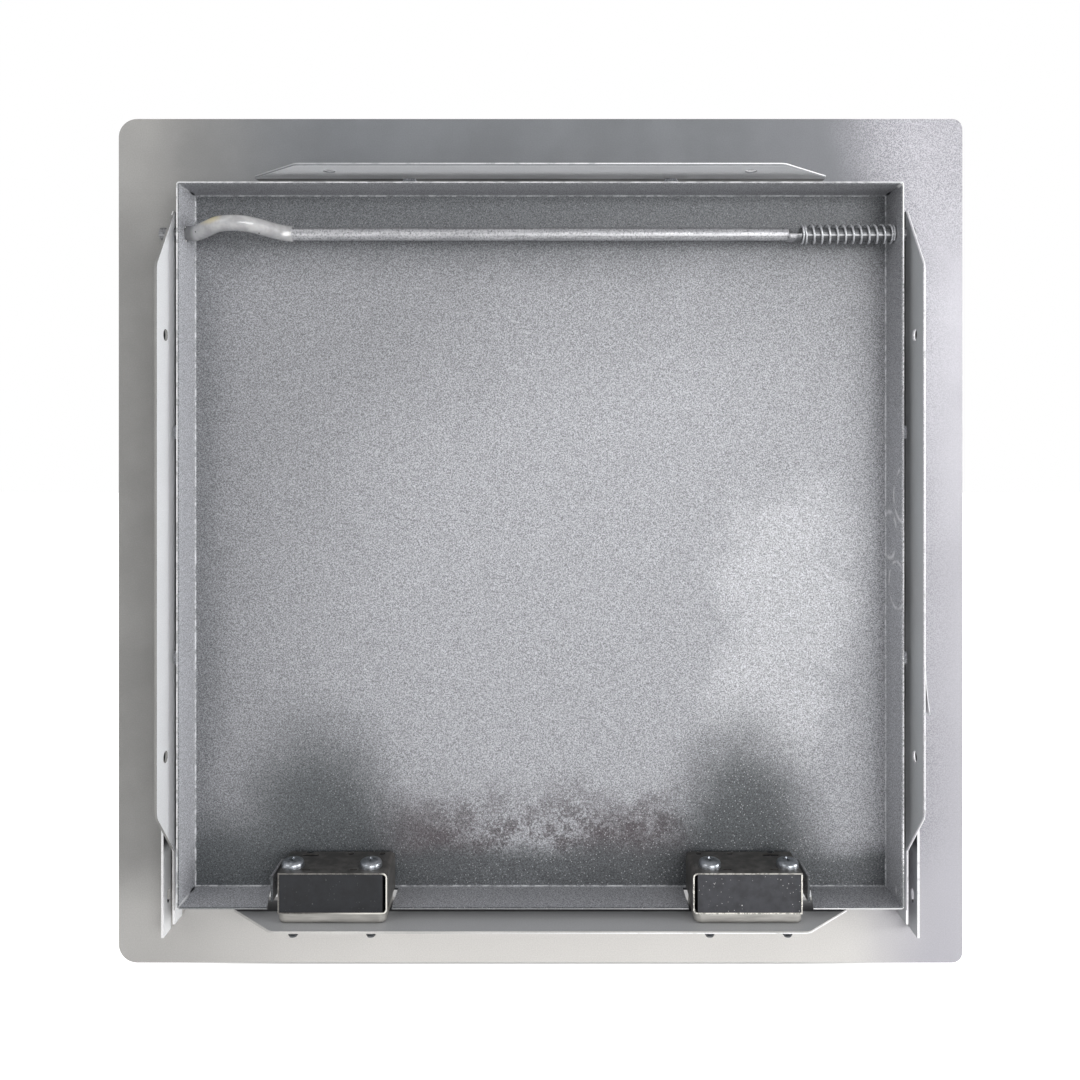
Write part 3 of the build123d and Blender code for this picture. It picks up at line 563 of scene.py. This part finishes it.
screw_zinc, tree, shader = new_finish("screw_zinc", 0.28, 0.9)
low_down = between(tree, axes(tree)["Z"], -0.150, -0.155)
plate = between(tree, noise(tree, 500, 3), 0.3, 0.7)
colour = blend_colour(tree, plate, (0.24, 0.26, 0.285), (0.42, 0.44, 0.47))
colour = blend_colour(tree, calc(tree, "MULTIPLY", low_down, 0.6), colour, (0.06, 0.06, 0.06))
put(tree, shader.inputs["Base Color"], colour)
relief(tree, shader, noise(tree, 900, 2), 0.00004, 0.4)

thread_pitch = 0.0007
head_round = 0.0004


def machine_screw(name, centre, top, tip, head_radius, shank_radius, seat):
    """Pan-head screw on a vertical axis: domed head, cross recess and a real thread."""
    bpy.ops.mesh.primitive_circle_add(vertices=48, radius=head_radius, location=(0, 0, seat))
    head = bpy.context.object
    head.name = name
    bpy.ops.object.mode_set(mode="EDIT")
    bpy.ops.mesh.select_all(action="SELECT")
    height = top - seat
    rise = ((0.1, 1.0), (0.42, 0.995), (0.62, 0.96), (0.78, 0.89), (0.9, 0.79), (0.97, 0.67), (1.0, 0.5), (1.0, 0.02))
    level, width = 0.0, 1.0
    for part, across_share in rise:
        bpy.ops.mesh.extrude_region_move(TRANSFORM_OT_translate={"value": (0, 0, (part - level) * height)})
        bpy.ops.transform.resize(value=(across_share / width, across_share / width, 1))
        level, width = part, across_share
    bpy.ops.mesh.merge(type="CENTER")
    bpy.ops.mesh.select_all(action="DESELECT")
    bpy.ops.object.mode_set(mode="OBJECT")
    for vertex in head.data.vertices:
        on_seat = abs(vertex.co.z) < 1e-6
        vertex.select = on_seat
    bpy.ops.object.mode_set(mode="EDIT")
    bpy.ops.mesh.edge_face_add()
    bpy.ops.mesh.select_all(action="SELECT")
    bpy.ops.mesh.normals_make_consistent(inside=False)
    bpy.ops.object.mode_set(mode="OBJECT")
    cutters = []
    for turn in (0.0, math.pi / 2):
        bpy.ops.mesh.primitive_cube_add(size=1, location=(0, 0, top), rotation=(0, 0, turn))
        blade = bpy.context.object
        blade.scale = (head_radius * 1.12, head_radius * 0.24, height * 1.3)
        bpy.ops.object.transform_apply(location=True, rotation=True, scale=True)
        bpy.ops.object.mode_set(mode="EDIT")
        bpy.ops.mesh.select_all(action="DESELECT")
        bpy.ops.object.mode_set(mode="OBJECT")
        for face in blade.data.polygons:
            face.select = face.normal.z < -0.5
        bpy.ops.object.mode_set(mode="EDIT")
        bpy.ops.transform.resize(value=(0.55, 0.55, 1))
        bpy.ops.object.mode_set(mode="OBJECT")
        cutters.append(blade)
    bpy.ops.object.select_all(action="DESELECT")
    bpy.context.view_layer.objects.active = head
    head.select_set(True)
    bpy.ops.object.transform_apply(location=True, rotation=True, scale=True)
    for blade in cutters:
        cut = head.modifiers.new("recess", "BOOLEAN")
        cut.operation = "DIFFERENCE"
        cut.solver = "EXACT"
        cut.object = blade
        bpy.ops.object.modifier_apply(modifier=cut.name)
        bpy.data.objects.remove(blade)
    bpy.ops.mesh.primitive_circle_add(vertices=3, radius=shank_radius, location=(0, 0, tip))
    shank = bpy.context.object
    profile = shank.data
    bpy.ops.object.mode_set(mode="EDIT")
    bpy.ops.mesh.select_all(action="SELECT")
    bpy.ops.mesh.delete(type="VERT")
    bpy.ops.object.mode_set(mode="OBJECT")
    root_radius = shank_radius - 0.6 * thread_pitch
    profile.vertices.add(4)
    edge_points = (
        (root_radius, 0.0), (shank_radius, 0.4 * thread_pitch),
        (shank_radius, 0.55 * thread_pitch), (root_radius, 0.95 * thread_pitch),
    )
    for vertex, (out, rise_by) in zip(profile.vertices, edge_points):
        vertex.co = (out, 0, rise_by)
    profile.edges.add(3)
    for edge, ends in zip(profile.edges, ((0, 1), (1, 2), (2, 3))):
        edge.vertices = ends
    winding = shank.modifiers.new("thread", "SCREW")
    winding.screw_offset = thread_pitch
    winding.iterations = int((seat - tip) / thread_pitch) - 1
    winding.steps = winding.render_steps = 20
    winding.use_merge_vertices = True
    winding.merge_threshold = 0.06 * thread_pitch
    bpy.ops.object.modifier_apply(modifier=winding.name)
    bpy.ops.object.transform_apply(location=True, rotation=True, scale=True)
    bpy.ops.mesh.primitive_cylinder_add(
        vertices=24, radius=root_radius + 0.00002, depth=seat - tip, location=(0, 0, (seat + tip) / 2)
    )
    bar = bpy.context.object
    bpy.ops.object.mode_set(mode="EDIT")
    bpy.ops.mesh.select_all(action="DESELECT")
    bpy.ops.object.mode_set(mode="OBJECT")
    for face in bar.data.polygons:
        face.select = face.normal.z < -0.5
    bpy.ops.object.mode_set(mode="EDIT")
    bpy.ops.mesh.inset(thickness=head_round)
    bpy.ops.transform.translate(value=(0, 0, -head_round * 0.4))
    bpy.ops.object.mode_set(mode="OBJECT")
    bpy.ops.object.transform_apply(location=True, rotation=True, scale=True)
    bpy.ops.object.select_all(action="DESELECT")
    for part in (bar, shank, head):
        part.select_set(True)
    bpy.context.view_layer.objects.active = head
    bpy.ops.object.join()
    head.data.transform(Matrix.Translation(centre))
    bpy.ops.object.shade_smooth_by_angle(angle=math.radians(38))
    head.data.materials.clear()
    head.data.materials.append(screw_zinc)
    bpy.ops.object.select_all(action="DESELECT")
    return head


for side in ("left", "right"):
    low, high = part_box(f"{side}_latch_screws")
    head_radius = (high.y - low.y) / 2
    seat_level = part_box(f"{side}_latch_case")[1].z
    axis_depth = (low.y + high.y) / 2
    made = []
    for number, along in enumerate((low.x + head_radius, high.x - head_radius)):
        made.append(machine_screw(
            f"{side}_latch_screw_{number}", Vector((along, axis_depth, 0)), high.z, low.z + head_round,
            head_radius, 0.00199, seat_level,
        ))
    for screw in made:
        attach(screw, "frame")
        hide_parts(f"{side}_latch_screws")


# Blank adhesive label: a thin strip of white film on the outside of the right flap.
# Its upper part is stuck down, and the lower end has come away.

film, tree, shader = new_finish("label_film", 0.35)
colour = blend_colour(tree, between(tree, noise(tree, 90, 3), 0.3, 0.7), (0.72, 0.72, 0.73), (0.84, 0.84, 0.85))
put(tree, shader.inputs["Base Color"], colour)
relief(tree, shader, noise(tree, 400, 2), 0.00005, 0.4)
dress(("flap_label",), film)


# Photographic set: white floor and backdrop, soft lamps, and the camera behind the panel.

floor_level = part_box("frame_plate")[0].z - 0.0005
white, tree, shader = new_finish("floor_white", 0.9)
to_camera = tree.nodes.new("ShaderNodeLightPath").outputs["Is Camera Ray"]
shader.inputs["Emission Color"].default_value = (1, 1, 1, 1)
spread = axes(tree)
# Painted shadow on the floor in front of the panel: darker colour and weaker glow there.
painted_contact_shadow = times(tree, between(tree, calc(tree, "ABSOLUTE", spread["X"]), 0.10, 0.19, 1.0, 0.0),
                between(tree, spread["Y"], -0.001, 0.001), between(tree, spread["Y"], 0.055, 0.15, 1.0, 0.0))
put(tree, shader.inputs["Base Color"], between(tree, painted_contact_shadow, 0.0, 1.0, 0.88, 0.35))
glow = between(tree, to_camera, 0.0, 1.0, 0.12, 0.74)
put(tree, shader.inputs["Emission Strength"], times(tree, glow, between(tree, painted_contact_shadow, 0.0, 1.0, 1.0, 0.2)))
bpy.ops.mesh.primitive_plane_add(size=8, location=(0, 0, floor_level))
floor = bpy.context.object
floor.name = "studio_floor"
floor.data.materials.append(white)

world = bpy.data.worlds.new("studio")
bpy.context.scene.world = world
world.use_nodes = True
sky = world.node_tree
backing = sky.nodes["Background"]
path = sky.nodes.new("ShaderNodeLightPath")
seen = calc(sky, "MAXIMUM", path.outputs["Is Camera Ray"], path.outputs["Is Transmission Ray"])
backing.inputs["Color"].default_value = (1, 1, 1, 1)
put(sky, backing.inputs["Strength"], between(sky, seen, 0.0, 1.0, 0.52, 1.0))


def soft_lamp(name, where, size, power, tint=(1, 1, 1)):
    """Square soft box that looks at the panel."""
    lamp = bpy.data.lights.new(name, "AREA")
    lamp.size = size
    lamp.energy = power
    lamp.color = tint
    holder = bpy.data.objects.new(name, lamp)
    holder.location = where
    holder.rotation_euler = (-Vector(where)).to_track_quat("-Z", "Y").to_euler()
    bpy.context.collection.objects.link(holder)


soft_lamp("key_lamp", (0.85, -2.1, -0.1), 1.5, 46)
soft_lamp("side_lamp", (2.1, -0.5, 0.0), 1.0, 33)
soft_lamp("left_lamp", (-1.7, -1.5, 0.9), 1.2, 8)
soft_lamp("front_lamp", (0.6, 2.0, 1.2), 1.5, 20)

image_width = 1080
picture_axis = (548, 440)
scale_at_flange = 2.28
camera_back = 0.450
lens = bpy.data.cameras.new("camera")
lens.sensor_width = 36
lens.lens = scale_at_flange * camera_back * 1000 * lens.sensor_width / image_width
lens.shift_x = -(picture_axis[0] - image_width / 2) / image_width
lens.shift_y = (picture_axis[1] - image_width / 2) / image_width
lens.clip_start = 0.01
camera = bpy.data.objects.new("camera", lens)
camera.location = (0.00325, -camera_back, 0.0442)
camera.rotation_euler = (math.radians(90), 0, 0)
bpy.context.collection.objects.link(camera)
bpy.context.scene.camera = camera
bpy.context.scene.view_settings.view_transform = "Standard"

bpy.context.view_layer.update()
